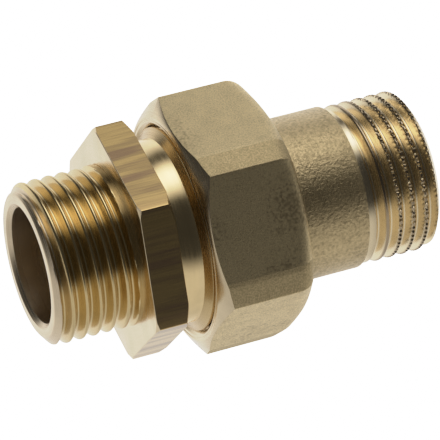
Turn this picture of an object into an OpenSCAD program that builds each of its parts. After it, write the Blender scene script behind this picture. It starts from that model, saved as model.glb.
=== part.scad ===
// Pipe union with two G 1/2 male ends. Lengths are in millimetres.
// The pipe axis is X. Every "x_" value below is measured from the threaded body's open end.
// The origin is on the axis, midway between the two open ends.

/* [Pipe ends] */
// Outside diameter of both pipe threads
pipe_d = 20.955; // [20.90:0.005:21.00]
// Pitch of the pipe threads and of the union thread
pitch = 1.8143; // [1.8:0.0001:1.83]
// Length of the threaded body's pipe thread
body_thread_l = 11.2; // [10.8:0.1:12]
// Length of the tailpiece's pipe thread
tail_thread_l = 10.4; // [9.6:0.1:11]
// Radius of the threaded body's waterway
body_bore_r = 7.5; // [7:0.1:7.6]
// Radius of the tailpiece's waterway, where its key lugs are
tail_bore_r = 7.3; // [7:0.1:7.35]
// Radius of the wider mouth of the tailpiece's waterway
tail_mouth_r = 7.6; // [7.5:0.1:7.8]

/* [Threaded body] */
// Width across the flats of the hexagonal collar
collar_flats = 27; // [26.6:0.1:27.6]
// Thickness of the hexagonal collar
collar_l = 4.5; // [4:0.1:5]
// Turn of the collar's hexagon from the nut's hexagon, in degrees
collar_turn = 8; // [0:1:30]
// Radius of the smooth neck
neck_r = 11.95; // [11.7:0.05:12]
// Length of the smooth neck
neck_l = 3.15; // [2.8:0.05:3.4]

/* [Union nut] */
// Width across the flats of the union nut
nut_flats = 30; // [29.6:0.1:30.6]
// Length of the union nut
nut_l = 13; // [12.8:0.1:13.2]
// Outside diameter of the union thread, G 3/4
union_d = 26.441; // [26.40:0.001:26.48]

/* [Tailpiece] */
// Radius of the plain barrel
barrel_r = 10.65; // [10.65:0.05:10.7]
// Length of the plain barrel, from the nut's back face to the pipe thread
barrel_l = 9.5; // [8:0.1:11]

/* [Hidden] */
$fn = 96;

brass = [0.78, 0.62, 0.34];
nut_brass = [0.70, 0.60, 0.38];
tail_brass = [0.66, 0.56, 0.36];
rubber = [0.06, 0.06, 0.06];

// A 55 degree thread: its depth, and half of its crest and of its root along the axis
depth = 0.6403 * pitch;
crest_half = pitch / 12;
root_half = 5 * pitch / 12;
pipe_r = pipe_d / 2;
union_r = union_d / 2;
tip_r = pipe_r - depth + 0.1;

// The groove that stands for a pipe thread's valley: its width, and its depth at the same 55 degrees
groove_w = 0.48;
groove_depth = groove_w / 2 / tan(27.5);

// Gap left between two pieces that turn or slide on each other
gap = 0.1;

// Stations along the axis
x_collar = body_thread_l;
x_neck = x_collar + collar_l;
x_land = x_neck + neck_l;
land_rise = 0.65;
land_r = union_r + 0.03;
x_land_end = x_land + 1;
x_nut = x_land + 0.65;
x_nut_thread = x_land_end + 0.8;
x_nut_back = x_nut + nut_l;
x_lip = x_nut_back - 2.5;
x_flange = x_lip - gap - 2.2;
x_face = x_flange - gap;
x_seat = x_face - 4;
x_nose = x_seat + 0.3;
x_tail_thread = x_nut_back + barrel_l;
x_end = x_tail_thread + tail_thread_l;
x_mid = x_end / 2;

// The nose and its O-ring groove
seat_r = 10.6;
nose_r = seat_r - gap;
seal_cord_r = 0.75;
groove_r = 8.9;
groove_l = 2;
x_groove = x_nose + 0.7;
x_seal = x_groove + groove_l / 2;
seal_r = groove_r + gap + seal_cord_r;

flange_r = 12;
nut_mouth_r = union_r + 0.2;
relief_r = union_r + 0.3;
lip_r = barrel_r + 0.15;
lug_w = 2.6;
lug_h = 1.2;
x_lug = x_tail_thread - 6;
lug_l = 7;
x_tail_mouth = x_tail_thread + 2.5;
bevel = 0.45;
cut = 1;

// Sectors in one turn of the union thread, and its allowance from thread to nut
sectors = 48;
allowance = 0.12;

// Stands a shape drawn along +Z on the pipe axis, with its zero at the body's open end
module along_axis() {
    translate([-x_mid, 0, 0]) rotate([0, 90, 0]) children();
}

// A full ring of the outline [[r, x], ...]
module turned(outline) {
    rotate_extrude() polygon(outline);
}

// Hexagonal prism with its corners taken off by a dome at each end, which leaves a round face of
// radius r0 or r1 there. A dome is a sphere that rises at about 30 degrees from the face's rim to corner_r.
function dome_rise(face_r, corner_r) = (corner_r - face_r) * tan(30);
function dome_depth(face_r, corner_r) =
    let (rise = dome_rise(face_r, corner_r))
    (corner_r * corner_r - face_r * face_r + rise * rise) / (2 * rise);
module dome(x, side, face_r, corner_r) {
    centre = dome_depth(face_r, corner_r);
    translate([0, 0, x + side * centre]) sphere(r = norm([centre, face_r]), $fn = 180);
}
module hexagon_bar(flats, x0, x1, r0, r1, corner_r, turn) {
    intersection() {
        translate([0, 0, x0])
            rotate([0, 0, turn])
                cylinder(r = flats / sqrt(3), h = x1 - x0, $fn = 6);
        translate([0, 0, x0]) cylinder(r = corner_r, h = x1 - x0);
        dome(x0, 1, r0, corner_r);
        dome(x1, -1, r1, corner_r);
    }
}

// A pipe end from its bevelled open end at zero to length: its outside diameter with a narrow
// round groove in each valley of the thread, one pitch apart.
module pipe_end(length, first_valley) {
    valleys = [
        for (x = [first_valley : pitch : length - groove_w])
            each [[pipe_r, x - groove_w / 2], [pipe_r - groove_depth, x], [pipe_r, x + groove_w / 2]]
    ];
    turned(concat([[0, 0], [tip_r, 0], [pipe_r, pipe_r - tip_r]], valleys, [[pipe_r, length], [0, length]]));
}

// Closed solid of a right-hand screw thread. Rows of points follow the helix, four to a pitch,
// and a row that would pass an end stops on that end's rim.
function thread_r(x, turn, r_crest, crest_w, root_w) =
    let (u = (x / pitch - turn) - floor(x / pitch - turn + 0.5))
    let (share = (root_w - abs(u) * pitch) / (root_w - crest_w))
    r_crest - depth * (1 - max(0, min(1, share)));
function on_ring(i, r, x) = [r * cos(360 * i / sectors), r * sin(360 * i / sectors), x];

module screw_thread(x0, x1, r_crest, grow, tip_r) {
    widen = 0.607 * grow;
    crest_w = crest_half + widen;
    root_w = root_half + widen;
    offsets = [-root_w, -crest_w, crest_w, root_w];
    first = floor(x0 / pitch) - 1;
    rows = 4 * (ceil((x1 - x0) / pitch) + 4);
    // station, radius and point number of row s at sector i
    function row_x(s, i) = pitch * (first + floor(s / 4) + i / sectors) + offsets[s % 4];
    function row_r(s) = (s % 4 == 1 || s % 4 == 2) ? r_crest : r_crest - depth;
    function number(s, i) =
        i == sectors ? number(s + 4, 0)
        : row_x(s, i) <= x0 ? i
        : row_x(s, i) >= x1 ? sectors + i
        : 2 * sectors + 2 + s * sectors + i;
    function rim(x, limit) = [
        for (i = [0 : sectors - 1])
            on_ring(i, min(limit, thread_r(x, i / sectors, r_crest, crest_w, root_w)), x)
    ];
    points = concat(
        rim(x0, r_crest), rim(x1, tip_r), [[0, 0, x0], [0, 0, x1]],
        [for (s = [0 : rows + 4]) for (i = [0 : sectors - 1])
            on_ring(i, min(row_r(s), tip_r + max(0, x1 - row_x(s, i))),
                max(x0, min(x1, row_x(s, i))))]
    );
    sides = [
        for (s = [0 : rows - 1]) for (i = [0 : sectors - 1])
            let (a = number(s, i), b = number(s + 1, i))
            let (c = number(s + 1, i + 1), d = number(s, i + 1))
            each [[a, b, c], [a, c, d]]
    ];
    caps = [
        for (i = [0 : sectors - 1])
            let (j = (i + 1) % sectors)
            each [[2 * sectors, i, j], [2 * sectors + 1, sectors + j, sectors + i]]
    ];
    function real(f) = f[0] != f[1] && f[1] != f[2] && f[0] != f[2];
    polyhedron(points, [for (f = concat(sides, caps)) if (real(f)) f]);
}

module threaded_body() {
    color(brass) along_axis() difference() {
        union() {
            pipe_end(x_collar, 2.4);
            hexagon_bar(collar_flats, x_collar, x_neck, 15, 14.5, 16, 90 + collar_turn);
            turned([
                [0, x_neck - cut], [neck_r, x_neck - cut], [neck_r, x_land],
                [land_r, x_land + land_rise], [land_r, x_land_end],
                [land_r - depth - land_rise, x_land_end + 2 * land_rise],
                [0, x_land_end + 2 * land_rise]
            ]);
            screw_thread(x_land_end - 0.2, x_face, union_r, 0, union_r - depth + 0.2);
        }
        translate([0, 0, -cut]) cylinder(r = body_bore_r, h = x_face + 2 * cut);
        // bevelled mouth
        turned([
            [0, -cut], [body_bore_r + bevel, -cut], [body_bore_r + bevel, 0], [0, body_bore_r + bevel]
        ]);
        // seat for the tailpiece's nose, with a lead-in for the O-ring
        turned([
            [0, x_seat], [seat_r, x_seat], [seat_r, x_face - bevel],
            [seat_r + bevel, x_face], [seat_r + bevel, x_face + cut], [0, x_face + cut]
        ]);
    }
}

module seal_ring() {
    color(rubber) along_axis()
        rotate_extrude() translate([seal_r, x_seal]) circle(r = seal_cord_r, $fn = 32);
}

module union_nut() {
    color(nut_brass) along_axis() difference() {
        hexagon_bar(nut_flats, x_nut, x_nut_back, 14.6, 13.9, 17.05, 90);
        screw_thread(x_nut_thread, x_face + 0.2, union_r + allowance, allowance, union_r + allowance);
        // mouth, relief behind the thread, and the lip's hole
        turned([
            [0, x_nut - cut], [nut_mouth_r + bevel, x_nut - cut], [nut_mouth_r + bevel, x_nut],
            [nut_mouth_r, x_nut + bevel], [nut_mouth_r, x_nut_thread + 0.1], [0, x_nut_thread + 0.1]
        ]);
        translate([0, 0, x_face]) cylinder(r = relief_r, h = x_lip - x_face);
        translate([0, 0, x_lip - cut]) cylinder(r = lip_r, h = x_nut_back - x_lip + 2 * cut);
        turned([
            [0, x_nut_back - bevel], [lip_r, x_nut_back - bevel], [lip_r + bevel, x_nut_back],
            [lip_r + bevel, x_nut_back + cut], [0, x_nut_back + cut]
        ]);
    }
}

module tailpiece() {
    color(tail_brass) along_axis() {
        difference() {
            union() {
                // nose with the O-ring groove, flange and barrel
                turned([
                    [0, x_nose], [nose_r - bevel, x_nose], [nose_r, x_nose + bevel],
                    [nose_r, x_groove], [groove_r, x_groove],
                    [groove_r, x_groove + groove_l], [nose_r, x_groove + groove_l],
                    [nose_r, x_flange], [flange_r, x_flange], [flange_r, x_lip - gap],
                    [barrel_r, x_lip - gap], [barrel_r, x_tail_thread], [0, x_tail_thread]
                ]);
                translate([0, 0, x_end]) mirror([0, 0, 1]) pipe_end(tail_thread_l, 2.3);
            }
            difference() {
                translate([0, 0, x_nose - cut]) cylinder(r = tail_bore_r, h = x_end - x_nose + 2 * cut);
                // two lugs that the union key turns
                for (side = [0, 180])
                    rotate([0, 0, side])
                        translate([tail_bore_r - lug_h, -lug_w / 2, x_lug])
                            cube([lug_h + cut, lug_w, lug_l]);
            }
            translate([0, 0, x_tail_mouth]) cylinder(r = tail_mouth_r, h = x_end - x_tail_mouth + cut);
            turned([
                [0, x_end - bevel], [tail_mouth_r, x_end - bevel], [tail_mouth_r + bevel, x_end],
                [tail_mouth_r + bevel, x_end + cut], [0, x_end + cut]
            ]);
        }
    }
}

threaded_body();
seal_ring();
union_nut();
tailpiece();
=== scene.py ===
"""Pipe union: the finished look of its four pieces, on a white studio table."""
import math

import bpy
import numpy as np
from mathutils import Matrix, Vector


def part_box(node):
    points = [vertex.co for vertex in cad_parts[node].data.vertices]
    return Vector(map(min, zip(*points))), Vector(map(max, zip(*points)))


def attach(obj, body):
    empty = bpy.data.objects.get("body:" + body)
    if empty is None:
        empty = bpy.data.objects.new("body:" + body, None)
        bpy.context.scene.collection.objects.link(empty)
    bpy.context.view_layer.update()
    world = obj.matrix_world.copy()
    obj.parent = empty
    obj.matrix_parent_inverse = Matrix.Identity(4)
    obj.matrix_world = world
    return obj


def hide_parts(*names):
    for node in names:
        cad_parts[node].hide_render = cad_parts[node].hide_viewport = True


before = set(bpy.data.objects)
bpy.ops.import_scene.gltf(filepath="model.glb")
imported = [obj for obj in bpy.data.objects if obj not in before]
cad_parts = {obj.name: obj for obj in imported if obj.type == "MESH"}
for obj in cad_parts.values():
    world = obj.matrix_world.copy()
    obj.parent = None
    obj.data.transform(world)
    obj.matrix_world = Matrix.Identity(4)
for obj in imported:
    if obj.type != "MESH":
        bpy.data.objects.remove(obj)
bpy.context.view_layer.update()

# ---------------------------------------------------------------- sizes, in millimetres
# A station is measured along the pipe axis from the threaded body's open end.
# An angle is measured round the axis, in degrees, from +Y towards +Z.
MM = 0.001
OPEN_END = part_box("threaded_body")[0].x / MM


def station(node, end):
    """Station of a CAD node's near end (0) or far end (1)."""
    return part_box(node)[end].x / MM - OPEN_END


# Threads. Their form is the 55 degree one, so depth and rounding follow from the pitch.
PITCH = 1.8143
DEPTH = 0.6403 * PITCH
CREST_ROUND = 0.1373 * PITCH
FLANK = math.radians(27.5)
PIPE_R = 20.955 / 2
UNION_R = 26.441 / 2
UNION_CLEAR = 0.13
# Station of one of a thread's crests at angle 0
BODY_PHASE = 1.24
TAIL_PHASE = 45.59
UNION_PHASE = 0.45

# Where the pieces start and end
BODY_FACE = station("threaded_body", 1)
NUT_FRONT = station("union_nut", 0)
NUT_BACK = station("union_nut", 1)
NOSE = station("tailpiece", 0)
TAIL_END = station("tailpiece", 1)

# Both open ends: outer edge of the end face, and how fast the chamfer behind it rises
FACE_R = 9.2
BODY_CHAMFER = 1.35
TAIL_CHAMFER = 1.6

# Threaded body
BODY_BEVEL = 0.55
BODY_BORE_R = 7.5
CHAMFER_END = 1.0
BODY_RUN_OUT = 9.4
BODY_RUN_OUT_SHARE = 0.55
COLLAR = 11.2
COLLAR_BACK = 15.7
COLLAR_FLATS = 27.0
COLLAR_CORNER = 8.1
COLLAR_FACE_R = (15.0, 14.5)
NECK_R = 11.95
NECK_END = 18.85
LAND = 19.5
LAND_END = 19.85
LAND_R = UNION_R + 0.03
LAND_SLOPE = 1.39
UNION_TIP_R = 12.26
SEAT_R = 10.6
SEAT = 23.6

# Union nut. Its worn stretches run from NUT_WORN degrees before a corner, by turns wide and narrow,
# to NUT_WORN_PAST degrees after it.
NUT_FLATS = 2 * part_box("union_nut")[1].z / MM
NUT_FACE_R = (14.6, 13.9)
NUT_BACK_ROUND = 1.1
NUT_WORN = (9.0, 7.2)
NUT_WORN_PAST = 2.1
NUT_BEVEL = 0.45
NUT_MARK = (14.1, 14.3)
NUT_MARK_DEPTH = 0.05
NUT_THREAD = 20.65
NUT_MOUTH_R = UNION_R + 0.2
NUT_RELIEF_R = UNION_R + 0.3
NUT_LIP = 30.0
NUT_LIP_R = 10.8

# Tailpiece
TAIL_BEVEL = 0.45
FLANGE = 27.7
FLANGE_BACK = 29.9
FLANGE_R = 12.0
NOSE_R = 10.5
GROOVE = 24.6
GROOVE_BACK = 26.6
GROOVE_R = 8.9
BARREL_R = 10.65
BARREL_END = 42.0
BARREL_EDGE_R = 10.4
TAIL_BAND_R = 10.12
TAIL_BAND_SLOPE = 0.15
TAIL_RUN_OUT = 43.2
# Radii between which the tail thread turns brown: painted shade on its crests
TAIL_CREST_SHADE_R = (10.2, 10.42)
TAIL_BORE_R = 7.3
TAIL_MOUTH_R = 7.6
TAIL_MOUTH = 44.5
LUG = (36.0, 43.0)
LUG_R = 6.1
LUG_HALF_ANGLE = 11.0

# Notches across the tail thread's crests
NOTCHES = 80
NOTCH_FROM = 45.8
NOTCH_DEPTH = 0.3
NOTCH_PAST_CREST = 0.12
NOTCH_HALF_WIDTH = 0.36

# Seal ring
SEAL_X = 25.6
SEAL_R = 9.75
SEAL_CORD_R = 0.75


# ---------------------------------------------------------------- shapes
def thread(x, angle, phase, crest_r):
    """Radius of a right-hand Whitworth thread with round crests and valleys."""
    u = (x - phase) / PITCH - angle / 360
    off = np.abs(u - np.round(u)) * PITCH
    bend = CREST_ROUND * math.cos(FLANK)
    bend_drop = CREST_ROUND * (1 - math.sin(FLANK))
    crest = CREST_ROUND - np.sqrt(CREST_ROUND**2 - np.minimum(off, bend) ** 2)
    valley_off = PITCH / 2 - off
    valley = CREST_ROUND - np.sqrt(CREST_ROUND**2 - np.clip(valley_off, 0, bend) ** 2)
    flank = bend_drop + (off - bend) / math.tan(FLANK)
    drop = np.where(off < bend, crest, np.where(valley_off < bend, DEPTH - valley, flank))
    return crest_r - drop


def hexagon(angles, flats, corner, rounding):
    """Radius of a hexagon with rounded corners, one of them at the angle corner."""
    turn = (angles - corner) % 60
    from_corner = np.radians(np.minimum(turn, 60 - turn))
    flat = flats / 2 / np.cos(math.radians(30) - from_corner)
    centre = (flats / 2 - rounding) / math.cos(math.radians(30))
    reach = math.atan2(rounding / 2, centre + rounding * math.cos(math.radians(30)))
    arc = centre * np.cos(from_corner) + np.sqrt(
        np.maximum(rounding**2 - (centre * np.sin(from_corner)) ** 2, 0)
    )
    return np.where(from_corner < reach, arc, flat)


def lower_of(a, b, blend):
    """The lower of two radii, with a soft change from one to the other."""
    low = np.minimum(a, b)
    return low - blend * np.log(np.exp((low - a) / blend) + np.exp((low - b) / blend))


def columns(count, corner=None, extra=()):
    """Angles round the axis, closer together by each corner of a hexagon."""
    angles = list(np.arange(count) * 360 / count)
    if corner is not None:
        near = [(corner + 60 * k + side * d) % 360 for k in range(6) for d in extra for side in (-1, 1)]
        least = 0.3 * 360 / count
        clear = [a for a in angles if min(abs((a - n + 180) % 360 - 180) for n in near) > least]
        angles = clear + near
    return np.unique(np.round(angles, 4))


class Skin:
    """A closed ring-shaped surface round the pipe axis, made of loops of points that follow its outline.
    Where the finish changes, the next loop starts a few hundredths of a millimetre on."""

    def __init__(self, angles):
        self.angles = angles
        self.loops = []
        self.finishes = []

    def loop(self, x, r, finish):
        """One loop; x and r are numbers or hold one value for each angle."""
        x = np.broadcast_to(np.asarray(x, float), self.angles.shape)
        r = np.broadcast_to(np.asarray(r, float), self.angles.shape)
        self.loops.append(np.stack([x, r], axis=1))
        self.finishes.append(finish)

    def edges(self, corners, finish, rounding=0.06, steps=2):
        """Loops along straight sides. A corner is (x, r) or (x, r, rounding).
        The two end ones stay sharp."""
        size = self.angles.shape
        points = [np.stack([np.broadcast_to(v, size) for v in c[:2]], axis=1) for c in corners]
        for i, point in enumerate(points):
            if i in (0, len(points) - 1):
                self.loop(point[:, 0], point[:, 1], finish)
                continue
            radius = corners[i][2] if len(corners[i]) > 2 else rounding
            back, ahead = points[i - 1] - point, points[i + 1] - point
            back_l = np.linalg.norm(back, axis=1, keepdims=True)
            ahead_l = np.linalg.norm(ahead, axis=1, keepdims=True)
            back, ahead = back / back_l, ahead / ahead_l
            half = np.arccos(np.clip((back * ahead).sum(1, keepdims=True), -1, 1)) / 2
            cut = np.minimum(radius / np.tan(half), 0.45 * np.minimum(back_l, ahead_l))
            for t in np.linspace(0, 1, steps + 1):
                p = point + back * cut * (1 - t) ** 2 + ahead * cut * t**2
                self.loop(p[:, 0], p[:, 1], finish)

    def field(self, x0, x1, step, radius, finish):
        """Loops from x0 to x1 whose radius is a function of station and angle."""
        for x in np.linspace(x0, x1, max(2, round(abs(x1 - x0) / step) + 1)):
            self.loop(x, radius(x, self.angles), finish)

    def build(self, name, materials):
        grid = np.array(self.loops)
        rows, cols = grid.shape[:2]
        around = np.radians(self.angles)
        x, r = grid[..., 0] + OPEN_END, grid[..., 1]
        points = np.stack([x, r * np.cos(around), r * np.sin(around)], axis=-1) * MM
        i, j = np.meshgrid(np.arange(rows), np.arange(cols), indexing="ij")
        i2, j2 = (i + 1) % rows, (j + 1) % cols
        quads = np.stack([i * cols + j, i * cols + j2, i2 * cols + j2, i2 * cols + j], axis=-1)
        kinds = list(materials)
        index = np.repeat([kinds.index(f) for f in self.finishes], cols)
        mesh = bpy.data.meshes.new(name)
        mesh.vertices.add(rows * cols)
        mesh.vertices.foreach_set("co", points.ravel())
        mesh.loops.add(quads.size)
        mesh.loops.foreach_set("vertex_index", quads.ravel())
        mesh.polygons.add(rows * cols)
        mesh.polygons.foreach_set("loop_start", np.arange(rows * cols) * 4)
        mesh.polygons.foreach_set("material_index", index)
        mesh.update(calc_edges=True)
        mesh.shade_smooth()
        mesh.set_sharp_from_angle(angle=math.radians(40))
        for kind in kinds:
            mesh.materials.append(materials[kind])
        piece = bpy.data.objects.new(name, mesh)
        bpy.context.scene.collection.objects.link(piece)
        return piece


# ---------------------------------------------------------------- materials
class Finish:
    """A procedural material around one Principled shader."""

    def __init__(self, name, colour, roughness, metallic=1.0):
        self.material = bpy.data.materials.new(name)
        self.material.use_nodes = True
        self.tree = self.material.node_tree
        self.shader = self.tree.nodes["Principled BSDF"]
        self.shader.inputs["Base Color"].default_value = (*colour, 1)
        self.shader.inputs["Roughness"].default_value = roughness
        self.shader.inputs["Metallic"].default_value = metallic
        self.place = self.node("ShaderNodeTexCoord").outputs["Object"]
        split = self.node("ShaderNodeSeparateXYZ")
        self.put(split.inputs[0], self.place)
        self.split = split.outputs

    def node(self, kind, **settings):
        made = self.tree.nodes.new(kind)
        for key, value in settings.items():
            setattr(made, key, value)
        return made

    def put(self, socket, value):
        if isinstance(value, bpy.types.NodeSocket):
            self.tree.links.new(value, socket)
        else:
            socket.default_value = value

    def math(self, operation, a, b=0.0):
        made = self.node("ShaderNodeMath", operation=operation)
        self.put(made.inputs[0], a)
        self.put(made.inputs[1], b)
        return made.outputs[0]

    def stretched(self, x, y, z):
        """The object's own coordinates, scaled along each axis."""
        made = self.node("ShaderNodeMapping")
        self.put(made.inputs["Vector"], self.place)
        made.inputs["Scale"].default_value = (x, y, z)
        return made.outputs[0]

    def turned(self, fine, slow):
        """Coordinates that change fast along the pipe axis and with distance from it, as a lathe's marks do,
        and slowly in height."""
        joined = self.node("ShaderNodeCombineXYZ")
        self.put(joined.inputs[0], self.math("MULTIPLY", self.split[0], fine))
        self.put(joined.inputs[1], self.math("MULTIPLY", self.radius(), fine))
        self.put(joined.inputs[2], self.math("MULTIPLY", self.split[2], slow))
        return joined.outputs[0]

    def radius(self):
        """Distance from the pipe axis."""
        square = [self.math("MULTIPLY", self.split[k], self.split[k]) for k in (1, 2)]
        return self.math("SQRT", self.math("ADD", *square))

    def past_corner(self, corner):
        """How far a point is past a hexagon's last corner, as a share of a side.
        corner is the angle of one of the corners, in degrees."""
        sides = self.math("DIVIDE", self.math("ARCTAN2", self.split[2], self.split[1]), math.radians(60))
        return self.math("FRACT", self.math("SUBTRACT", sides, corner / 60))

    def noise(self, vector, scale, detail=3.0, roughness=0.5):
        made = self.node("ShaderNodeTexNoise")
        self.put(made.inputs["Vector"], vector)
        made.inputs["Scale"].default_value = scale
        made.inputs["Detail"].default_value = detail
        made.inputs["Roughness"].default_value = roughness
        return made.outputs["Fac"]

    def ramp(self, value, *stops):
        """Colours or greys at places from 0 to 1."""
        made = self.node("ShaderNodeValToRGB")
        self.put(made.inputs[0], value)
        elements = made.color_ramp.elements
        while len(elements) < len(stops):
            elements.new(0.5)
        for element, (place, colour) in zip(elements, stops):
            element.position = place
            element.color = (*colour, 1) if isinstance(colour, tuple) else (colour, colour, colour, 1)
        return made.outputs[0]

    def remap(self, value, low, high, to_low, to_high):
        made = self.node("ShaderNodeMapRange")
        for socket, v in zip(made.inputs, (value, low, high, to_low, to_high)):
            self.put(socket, v)
        return made.outputs[0]

    def mix(self, share, a, b):
        """Colour a, going over to colour b as share goes to 1."""
        made = self.node("ShaderNodeMix", data_type="RGBA")
        self.put(made.inputs["Factor"], share)
        self.put(made.inputs["A"], a)
        self.put(made.inputs["B"], (*b, 1) if isinstance(b, tuple) else b)
        return made.outputs["Result"]

    def bump(self, height, distance):
        made = self.node("ShaderNodeBump")
        made.inputs["Distance"].default_value = distance
        self.put(made.inputs["Height"], height)
        return made.outputs[0]

    def use(self, **sockets):
        for name, value in sockets.items():
            self.put(self.shader.inputs[name.replace("_", " ")], value)
        return self.material


# Brown of the painted shade on the tail thread's crests
PAINTED_CREST_SHADE = (0.2, 0.13, 0.08)
# Lighter gold of the painted highlight just before each of the collar's corners
PAINTED_HIGHLIGHT_GOLD = (0.72, 0.5, 0.22)
SOILED = (0.25, 0.18, 0.1)


def turned_brass(name, colour, roughness, mark=0.0000016, crest_shade_r=None):
    """Bright metal cut on a lathe: fine rings round the axis, mark metres deep, and a little stain.
    The radii in its last argument are where it goes over from bright to brown:
    painted shade, browner towards the outside, that darkens a thread's crests."""
    f = Finish(name, colour, roughness)
    rings = f.noise(f.turned(fine=9000, slow=60), scale=1, detail=4)
    stain = f.noise(f.place, scale=260, detail=4)
    tint = [tuple(c * k for c in colour) for k in (0.9, 1.0)]
    shade = f.ramp(stain, (0.35, tint[0]), (0.6, tint[1]))
    # painted shade: browner towards the outside, so darkest on a thread's crests
    if crest_shade_r is not None:
        share = f.remap(f.radius(), crest_shade_r[0] * MM, crest_shade_r[1] * MM, 0.0, 0.65)
        shade = f.mix(share, shade, PAINTED_CREST_SHADE)
    return f.use(
        Base_Color=shade,
        Roughness=f.remap(rings, 0.3, 0.7, roughness - 0.05, roughness + 0.06),
        Normal=f.bump(rings, mark),
    )


def drawn_brass(name):
    """Bar stock as drawn: streaks along the bar, brown where it is tarnished and gold where it is bright,
    and a painted highlight of lighter gold over a strip just before each of the collar's corners."""
    f = Finish(name, (0.56, 0.4, 0.18), 0.2)
    broad = f.noise(f.stretched(60, 620, 620), scale=1, detail=3, roughness=0.55)
    fine = f.noise(f.stretched(150, 4200, 4200), scale=1, detail=3)
    streaks = f.math("ADD", f.math("MULTIPLY", broad, 0.75), f.math("MULTIPLY", fine, 0.25))
    brown, tan, gold = (0.32, 0.215, 0.125), (0.43, 0.305, 0.145), (0.56, 0.4, 0.175)
    shade = f.ramp(streaks, (0.38, brown), (0.48, tan), (0.57, gold))
    # painted highlight: lighter gold, rising over the 7 degrees before each corner
    by_corner = f.past_corner(COLLAR_CORNER - 7)
    corner_highlight = f.ramp(by_corner, (0.0, 0.0), (0.08, 0.5), (0.117, 1.0), (0.12, 0.0))
    return f.use(
        Base_Color=f.mix(corner_highlight, shade, PAINTED_HIGHLIGHT_GOLD),
        Roughness=f.remap(streaks, 0.35, 0.6, 0.24, 0.18),
        Normal=f.bump(fine, 0.000004),
    )


def blasted_brass(name, colour, grain, height, roughness, soiled=0.0, worn=None):
    """Shot-blasted metal: a fine even grain, height metres deep, that breaks up every reflection.
    soiled darkens scattered pits. worn holds the angles from a hexagon's corner between which it is
    worn, and duller."""
    f = Finish(name, colour, roughness)
    pits = f.noise(f.place, grain, detail=4, roughness=0.68)
    cloud = f.noise(f.place, grain / 9, detail=3)
    tone = f.math("ADD", f.math("MULTIPLY", pits, 0.82), f.math("MULTIPLY", cloud, 0.18))
    shades = [tuple(c * k for c in colour) for k in (0.72, 1.0, 1.2)]
    shade = f.ramp(tone, (0.38, shades[0]), (0.5, shades[1]), (0.64, shades[2]))
    specks = f.noise(f.place, grain / 2, detail=5, roughness=0.7)
    patches = f.noise(f.place, scale=110, detail=2)
    dirt = f.remap(f.math("MULTIPLY", specks, patches), 0.29, 0.36, 0.0, soiled)
    shade = f.mix(dirt, shade, SOILED)
    rough = f.remap(tone, 0.35, 0.65, roughness + 0.08, roughness - 0.06)
    if worn is not None:
        on_wear = f.math("LESS_THAN", f.past_corner(worn[0]), (worn[1] - worn[0]) / 60)
        rough = f.math("ADD", rough, f.math("MULTIPLY", on_wear, 0.2))
        shade = f.mix(on_wear, shade, f.ramp(pits, (0.4, shades[0]), (0.6, shades[1])))
    return f.use(Base_Color=shade, Roughness=rough, Normal=f.bump(pits, height))


def rubber(name):
    f = Finish(name, (0.018, 0.018, 0.019), 0.55, metallic=0.0)
    grain = f.noise(f.place, scale=4000, detail=4)
    return f.use(
        Base_Color=f.ramp(grain, (0.35, 0.012), (0.65, 0.026)),
        Roughness=f.remap(grain, 0.3, 0.7, 0.48, 0.66),
        Normal=f.bump(grain, 0.00001),
    )


finishes = {
    "turned": turned_brass("turned_brass", (0.88, 0.68, 0.37), 0.2),
    "pipe_thread": turned_brass("pipe_thread_brass", (0.7, 0.54, 0.28), 0.2),
    # Darker than the turned brass: painted shade where the body and the nut meet
    "union_thread": turned_brass("union_thread_brass", (0.6, 0.44, 0.22), 0.25),
    "faced": turned_brass("faced_brass", (0.72, 0.59, 0.39), 0.22),
    "cut_end": turned_brass("cut_end_brass", (0.72, 0.59, 0.41), 0.3),
    "bored": turned_brass("bored_brass", (0.78, 0.65, 0.47), 0.32, mark=0.00001),
    "drawn": drawn_brass("drawn_brass"),
    "blasted": blasted_brass(
        "blasted_brass", (0.77, 0.62, 0.355), grain=5200, height=0.00003, roughness=0.42,
        soiled=0.6, worn=(-NUT_WORN[0], NUT_WORN_PAST),
    ),
    "cast": blasted_brass(
        "cast_brass", (0.59, 0.46, 0.255), grain=2600, height=0.00011, roughness=0.35,
    ),
    # The tail thread's crests are painted brown: painted shade
    "tail_thread": turned_brass(
        "tail_thread_brass", (0.88, 0.73, 0.48), 0.24, mark=0.0000006, crest_shade_r=TAIL_CREST_SHADE_R,
    ),
    "rubber": rubber("black_rubber"),
}


def some(*names):
    return {name: finishes[name] for name in names}


# ---------------------------------------------------------------- pieces
def hexagon_sides(hexagon_r, front, back, face_r, edge):
    """Corners of the outline over a hexagon whose corners are taken off by a 30 degree cone at each end.
    face_r holds the radius of the round face left in front and the one left at the back."""
    slope = math.tan(math.radians(30))
    return [
        (front, np.minimum(face_r[0], hexagon_r - edge)),
        (front + np.maximum(edge, (hexagon_r - face_r[0]) * slope), hexagon_r),
        (back - np.maximum(edge, (hexagon_r - face_r[1]) * slope), hexagon_r),
        (back, np.minimum(face_r[1], hexagon_r - edge)),
    ]


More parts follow.
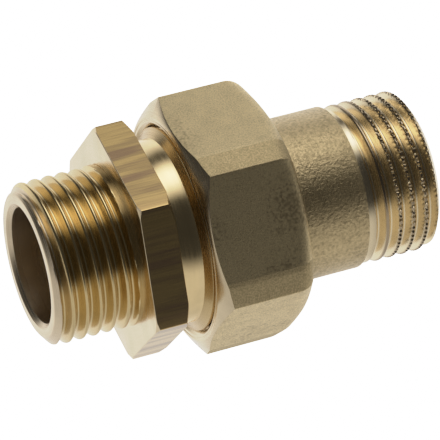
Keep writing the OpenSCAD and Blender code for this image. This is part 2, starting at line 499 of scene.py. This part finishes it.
def threaded_body():
    skin = Skin(columns(288, corner=COLLAR_CORNER, extra=(0, 0.11, 0.23, 0.5)))

    def pipe_end(x, angle):
        near_collar = np.clip((x - BODY_RUN_OUT) / (COLLAR - BODY_RUN_OUT), 0, 1)
        shallow = near_collar * BODY_RUN_OUT_SHARE * DEPTH
        cut = np.minimum(thread(x, angle, BODY_PHASE, PIPE_R) + shallow, PIPE_R)
        return np.minimum(cut, FACE_R + BODY_CHAMFER * x)

    def union_end(x, angle):
        cut = np.minimum(thread(x, angle, UNION_PHASE, UNION_R), UNION_TIP_R + BODY_FACE - x)
        return np.maximum(cut, LAND_R - LAND_SLOPE * (x - LAND_END))

    skin.edges(
        [(BODY_BEVEL, BODY_BORE_R), (0, BODY_BORE_R + BODY_BEVEL, 0.05), (0, FACE_R - 0.02)],
        "cut_end",
    )
    skin.field(0.02, CHAMFER_END, step=0.1, radius=pipe_end, finish="cut_end")
    skin.field(CHAMFER_END + 0.07, COLLAR - 0.03, step=0.07, radius=pipe_end, finish="pipe_thread")
    bar = hexagon(skin.angles, COLLAR_FLATS, COLLAR_CORNER, rounding=0.12)
    rim, near, far, back_rim = hexagon_sides(bar, COLLAR, COLLAR_BACK, COLLAR_FACE_R, edge=0.06)
    skin.edges([(COLLAR, pipe_end(COLLAR, skin.angles)), rim, near], "faced", rounding=0.04)
    skin.edges([(near[0] + 0.03, near[1]), (far[0] - 0.03, far[1])], "drawn")
    skin.edges([far, back_rim, (COLLAR_BACK, NECK_R + 0.3)], "faced", rounding=0.04)
    skin.edges(
        [(COLLAR_BACK, NECK_R + 0.25), (COLLAR_BACK + 0.01, NECK_R, 0.2), (NECK_END, NECK_R)],
        "turned",
    )
    skin.edges(
        [(NECK_END + 0.03, NECK_R + 0.02), (LAND, LAND_R, 0.08), (LAND_END, LAND_R)],
        "union_thread",
    )
    skin.field(LAND_END + 0.05, BODY_FACE - 0.03, step=0.09, radius=union_end, finish="union_thread")
    skin.edges(
        [
            (BODY_FACE, union_end(BODY_FACE, skin.angles)), (BODY_FACE, SEAT_R + BODY_BEVEL),
            (BODY_FACE - BODY_BEVEL, SEAT_R), (SEAT, SEAT_R), (SEAT, BODY_BORE_R + 0.1),
        ],
        "turned",
    )
    skin.edges([(SEAT - 0.1, BODY_BORE_R), (BODY_BEVEL + 0.03, BODY_BORE_R)], "bored")
    return skin.build(
        "threaded_body_skin",
        some("turned", "pipe_thread", "faced", "cut_end", "union_thread", "drawn", "bored"),
    )


def nut_section(angles):
    """Radius of the nut's hexagon, whose corners are worn flat to one side by a spanner."""
    section = hexagon(angles, NUT_FLATS, corner=0, rounding=0.2)
    for k in range(6):
        ends = []
        for past in (-NUT_WORN[k % 2], NUT_WORN_PAST):
            turn = math.radians(60 * k + past)
            from_flat = math.radians(30 - abs(past))
            ends.append(Vector((math.cos(turn), math.sin(turn))) * NUT_FLATS / 2 / math.cos(from_flat))
        start, end = ends
        # the flat between them, by the way it faces and its distance from the axis
        facing = math.atan2(start.x - end.x, end.y - start.y)
        reach = math.cos(facing) * start.x + math.sin(facing) * start.y
        off = np.abs((angles - math.degrees(facing) + 180) % 360 - 180)
        section = lower_of(section, reach / np.cos(np.radians(np.minimum(off, 60))), blend=0.02)
    return section


def union_nut():
    by_corner = (0, 0.6, 1.2, 1.8, 2.1, 2.4, 3, 6.6, 7.2, 7.8, 8.4, 9, 9.6, 10.2)
    skin = Skin(columns(288, corner=0, extra=by_corner))
    bar = nut_section(skin.angles)
    rim, near, far, _ = hexagon_sides(bar, NUT_FRONT, NUT_BACK, NUT_FACE_R, edge=0.1)
    round_from = far[0] - NUT_BACK_ROUND
    back_r = NUT_FACE_R[1]
    mark_x = NUT_FRONT + 0.02
    mark_floor = mark_x + NUT_MARK_DEPTH

    def inner_thread(x, angle):
        return thread(x, angle, UNION_PHASE, UNION_R) + UNION_CLEAR

    # mouth, the ring that the facing tool left on the front face, and the front cone
    skin.edges(
        [
            (NUT_FRONT + NUT_BEVEL, NUT_MOUTH_R), (mark_x, NUT_MOUTH_R + NUT_BEVEL),
            (mark_x, NUT_MARK[0], 0.02), (mark_floor, NUT_MARK[0] + 0.04, 0.02),
            (mark_floor, NUT_MARK[1], 0.02), (NUT_FRONT, NUT_MARK[1] + 0.06, 0.02),
            rim, (near[0] - 0.05, near[1] - 0.05),
        ],
        "faced",
    )
    skin.edges(
        [(near[0] - 0.02, near[1] - 0.02), near, (round_from - 0.1, far[1])],
        "blasted",
        rounding=0.2,
    )
    # the round back edge, a quarter of an ellipse
    for turn in np.radians(np.arange(0, 91, 9)):
        x = round_from + (NUT_BACK - round_from) * math.sin(turn)
        skin.loop(x, back_r + (far[1] - back_r) * math.cos(turn), "blasted")
    skin.edges(
        [(NUT_BACK, back_r - 0.1), (NUT_BACK, NUT_LIP_R + NUT_BEVEL), (NUT_BACK - NUT_BEVEL, NUT_LIP_R)],
        "blasted",
    )
    skin.edges(
        [
            (NUT_BACK - NUT_BEVEL - 0.1, NUT_LIP_R), (NUT_LIP, NUT_LIP_R), (NUT_LIP, NUT_RELIEF_R),
            (BODY_FACE, NUT_RELIEF_R),
        ],
        "turned",
    )
    skin.field(BODY_FACE - 0.05, NUT_THREAD, step=0.09, radius=inner_thread, finish="union_thread")
    skin.edges(
        [(NUT_THREAD - 0.05, NUT_MOUTH_R), (NUT_FRONT + NUT_BEVEL + 0.05, NUT_MOUTH_R)],
        "union_thread",
    )
    return skin.build("union_nut_skin", some("turned", "union_thread", "faced", "blasted"))


def tailpiece():
    skin = Skin(columns(540))

    def pipe_end(x, angle):
        run_out = np.clip((TAIL_RUN_OUT - x) / (TAIL_RUN_OUT - BARREL_END), 0, 1) * DEPTH
        band = TAIL_BAND_R + TAIL_BAND_SLOPE * (x - BARREL_END)
        cut = np.minimum(thread(x, angle, TAIL_PHASE, PIPE_R) + run_out, band)
        u = (x - TAIL_PHASE) / PITCH - angle / 360
        off = (u - np.round(u)) * PITCH
        on_edge = np.clip((NOTCH_HALF_WIDTH - np.abs(off - NOTCH_PAST_CREST)) / 0.16, 0, 1)
        started = np.clip((x - NOTCH_FROM) / 0.3, 0, 1)
        notch = np.clip(np.cos(np.radians(angle * NOTCHES)) * 1.8, 0, 1)
        notched = cut - NOTCH_DEPTH * notch * on_edge * started
        return np.minimum(notched, FACE_R + TAIL_CHAMFER * (TAIL_END - x))

    def bore(x, angle):
        side = np.abs(angle % 180 - 90)
        top = LUG_R / np.cos(np.radians(np.minimum(side, LUG_HALF_ANGLE)))
        high = np.clip((LUG_HALF_ANGLE + 0.7 - side) / 0.7, 0, 1)
        along = np.clip((min(x - LUG[0], LUG[1] - x)) / 0.3, 0, 1)
        return TAIL_BORE_R + (top - TAIL_BORE_R) * high * along

    # nose, O-ring groove and flange
    skin.edges(
        [
            (NOSE + 0.1, TAIL_BORE_R), (NOSE, TAIL_BORE_R + 0.1), (NOSE, NOSE_R - TAIL_BEVEL),
            (NOSE + TAIL_BEVEL, NOSE_R), (GROOVE, NOSE_R), (GROOVE, GROOVE_R), (GROOVE_BACK, GROOVE_R),
            (GROOVE_BACK, NOSE_R), (FLANGE, NOSE_R), (FLANGE, FLANGE_R), (FLANGE_BACK, FLANGE_R),
            (FLANGE_BACK, BARREL_R + 0.05),
        ],
        "tail_thread",
    )
    skin.edges(
        [
            (FLANGE_BACK + 0.05, BARREL_R), (BARREL_END, BARREL_R),
            (BARREL_END + 0.05, BARREL_EDGE_R + 0.05),
        ],
        "cast",
        rounding=0.15,
    )
    skin.edges(
        [
            (BARREL_END + 0.06, BARREL_EDGE_R), (BARREL_END + 0.1, TAIL_BAND_R),
            (BARREL_END + 0.2, TAIL_BAND_R + 0.02),
        ],
        "tail_thread",
        rounding=0.02,
    )
    skin.field(BARREL_END + 0.25, TAIL_END - 0.02, step=0.085, radius=pipe_end, finish="tail_thread")
    skin.edges(
        [
            (TAIL_END, FACE_R - 0.02), (TAIL_END, TAIL_MOUTH_R + TAIL_BEVEL),
            (TAIL_END - TAIL_BEVEL, TAIL_MOUTH_R), (TAIL_MOUTH, TAIL_MOUTH_R),
            (TAIL_MOUTH - 0.3, TAIL_BORE_R),
        ],
        "tail_thread",
    )
    # the stretch with the key lugs, from the mouth's side inwards
    for past in (0.1, 0, -0.15, -0.3):
        skin.loop(LUG[1] + past, bore(LUG[1] + past, skin.angles), "bored")
    for past in (0.3, 0.15, 0, -0.1):
        skin.loop(LUG[0] + past, bore(LUG[0] + past, skin.angles), "bored")
    return skin.build("tailpiece_skin", some("cast", "tail_thread", "bored"))


def seal_ring():
    """O-ring, with the faint line that its mould's join leaves round the outside and the inside."""
    skin = Skin(columns(180))
    for turn in np.radians(np.arange(0, 360, 10)):
        ridge = 0.015 * max(0.0, abs(math.sin(turn)) - 0.98) / 0.02
        cord = SEAL_CORD_R + ridge
        skin.loop(SEAL_X - cord * math.cos(turn), SEAL_R + cord * math.sin(turn), "rubber")
    return skin.build("seal_ring_skin", some("rubber"))


for make, node, body, slot in (
    (threaded_body, "threaded_body", "body", "turned_brass"),
    (seal_ring, "seal_ring", "seal", "seal_rubber"),
    (union_nut, "union_nut", "nut", "blasted_brass"),
    (tailpiece, "tailpiece", "tail", "cast_brass"),
):
    piece = make()
    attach(piece, body)
    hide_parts(node)


# ---------------------------------------------------------------- studio
# Light of the background and the table as the camera sees them
WHITE = 2.0
# Light that the metal mirrors, by direction across the pipe: from below at 0, through the camera's side,
# overhead at 0.5 and the far side, to below again at 1. There is a white table below, a dark room on the
# camera's side, one large softbox overhead and a white wall on the far side.
AROUND = (
    (0.0, 0.64), (0.2, 0.66), (0.257, 0.04), (0.456, 0.035), (0.52, 1.85),
    (0.562, 1.8), (0.62, 0.07), (0.651, 0.08), (0.703, 1.1), (0.88, 1.05), (1.0, 0.64),
)
# Past both ends of the pipe and above the table the room is dark. Each pair is where along an axis the
# darkness starts and where it is full.
LEFT_END = (-0.12, -0.4)
RIGHT_END = (0.65, 0.88)
ABOVE = (-0.25, 0.05)
ROOM = (0.05, 0.05, 0.05, 1)


def world_light():
    world = bpy.data.worlds.new("studio")
    world.use_nodes = True
    tree = world.node_tree
    tree.nodes.clear()
    link = tree.links.new

    def make(kind, **settings):
        made = tree.nodes.new(kind)
        for key, value in settings.items():
            setattr(made, key, value)
        return made

    def math_node(operation, a, b):
        made = make("ShaderNodeMath", operation=operation)
        link(a, made.inputs[0])
        link(b, made.inputs[1])
        return made.outputs[0]

    def from_to(value, start, full, interpolation="LINEAR"):
        made = make("ShaderNodeMapRange", interpolation_type=interpolation)
        made.inputs["From Min"].default_value = start
        made.inputs["From Max"].default_value = full
        link(value, made.inputs["Value"])
        return made.outputs[0]

    split = make("ShaderNodeSeparateXYZ")
    link(make("ShaderNodeTexCoord").outputs["Generated"], split.inputs[0])
    x, y, z = split.outputs
    ramp = make("ShaderNodeValToRGB")
    link(from_to(math_node("ARCTAN2", y, z), -math.pi, math.pi), ramp.inputs[0])
    elements = ramp.color_ramp.elements
    while len(elements) < len(AROUND):
        elements.new(0.5)
    for element, (place, level) in zip(elements, AROUND):
        element.position = place
        element.color = (level, level, level, 1)

    ends = math_node("ADD", from_to(x, *LEFT_END, "SMOOTHSTEP"), from_to(x, *RIGHT_END, "SMOOTHSTEP"))
    dark = make("ShaderNodeMix", data_type="RGBA")
    link(math_node("MULTIPLY", ends, from_to(z, *ABOVE, "SMOOTHSTEP")), dark.inputs["Factor"])
    link(ramp.outputs[0], dark.inputs["A"])
    dark.inputs["B"].default_value = ROOM

    lit = make("ShaderNodeBackground")
    link(dark.outputs["Result"], lit.inputs["Color"])
    seen = make("ShaderNodeBackground")
    seen.inputs["Color"].default_value = (1, 1, 1, 1)
    seen.inputs["Strength"].default_value = WHITE
    either = make("ShaderNodeMixShader")
    link(make("ShaderNodeLightPath").outputs["Is Camera Ray"], either.inputs[0])
    link(lit.outputs[0], either.inputs[1])
    link(seen.outputs[0], either.inputs[2])
    link(either.outputs[0], make("ShaderNodeOutputWorld").inputs["Surface"])
    bpy.context.scene.world = world


def table():
    """The table shines pure white. What the metal mirrors of it comes from the world's light instead."""
    half = 2.0
    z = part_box("union_nut")[0].z
    corners = [(-half, -half, z), (half, -half, z), (half, half, z), (-half, half, z)]
    mesh = bpy.data.meshes.new("table")
    mesh.from_pydata(corners, [], [(0, 1, 2, 3)])
    top = bpy.data.objects.new("table", mesh)
    bpy.context.scene.collection.objects.link(top)
    white = bpy.data.materials.new("white_table")
    white.use_nodes = True
    shader = white.node_tree.nodes["Principled BSDF"]
    shader.inputs["Base Color"].default_value = (0, 0, 0, 1)
    shader.inputs["Specular IOR Level"].default_value = 0
    shader.inputs["Emission Color"].default_value = (1, 1, 1, 1)
    shader.inputs["Emission Strength"].default_value = WHITE
    mesh.materials.append(white)
    top.visible_glossy = False
    top.visible_diffuse = False
    top.visible_shadow = False


def camera():
    """A long lens, turned 23 degrees towards the body's end and looking down at 38 degrees."""
    azimuth = math.radians(-22.632)
    elevation = math.radians(38.245)
    distance = 0.462587
    target = Vector((-0.0012, 0, 0))
    level = math.cos(elevation)
    back = Vector((math.sin(azimuth) * level, -math.cos(azimuth) * level, math.sin(elevation)))
    lens = bpy.data.cameras.new("camera")
    lens.lens = 298.12
    lens.sensor_width = 36
    lens.shift_x = 0.0156
    lens.shift_y = -0.0026
    lens.clip_start = 0.01
    view = bpy.data.objects.new("camera", lens)
    view.location = target + back * distance
    view.rotation_mode = "QUATERNION"
    view.rotation_quaternion = (-back).to_track_quat("-Z", "Y")
    bpy.context.scene.collection.objects.link(view)
    bpy.context.scene.camera = view


def film():
    """The picture's tones are true up to two thirds, and from there the highlights ease into white."""
    view = bpy.context.scene.view_settings
    view.view_transform = "Standard"
    view.use_curve_mapping = True
    view.curve_mapping.white_level = (WHITE, WHITE, WHITE)
    combined = view.curve_mapping.curves[3]
    for light, shown in ((0.65, 0.65), (1.0, 0.83), (1.4, 0.94)):
        combined.points.new(light / WHITE, shown)
    for point in list(combined.points)[:2]:
        point.handle_type = "VECTOR"
    view.curve_mapping.update()


world_light()
table()
camera()
film()
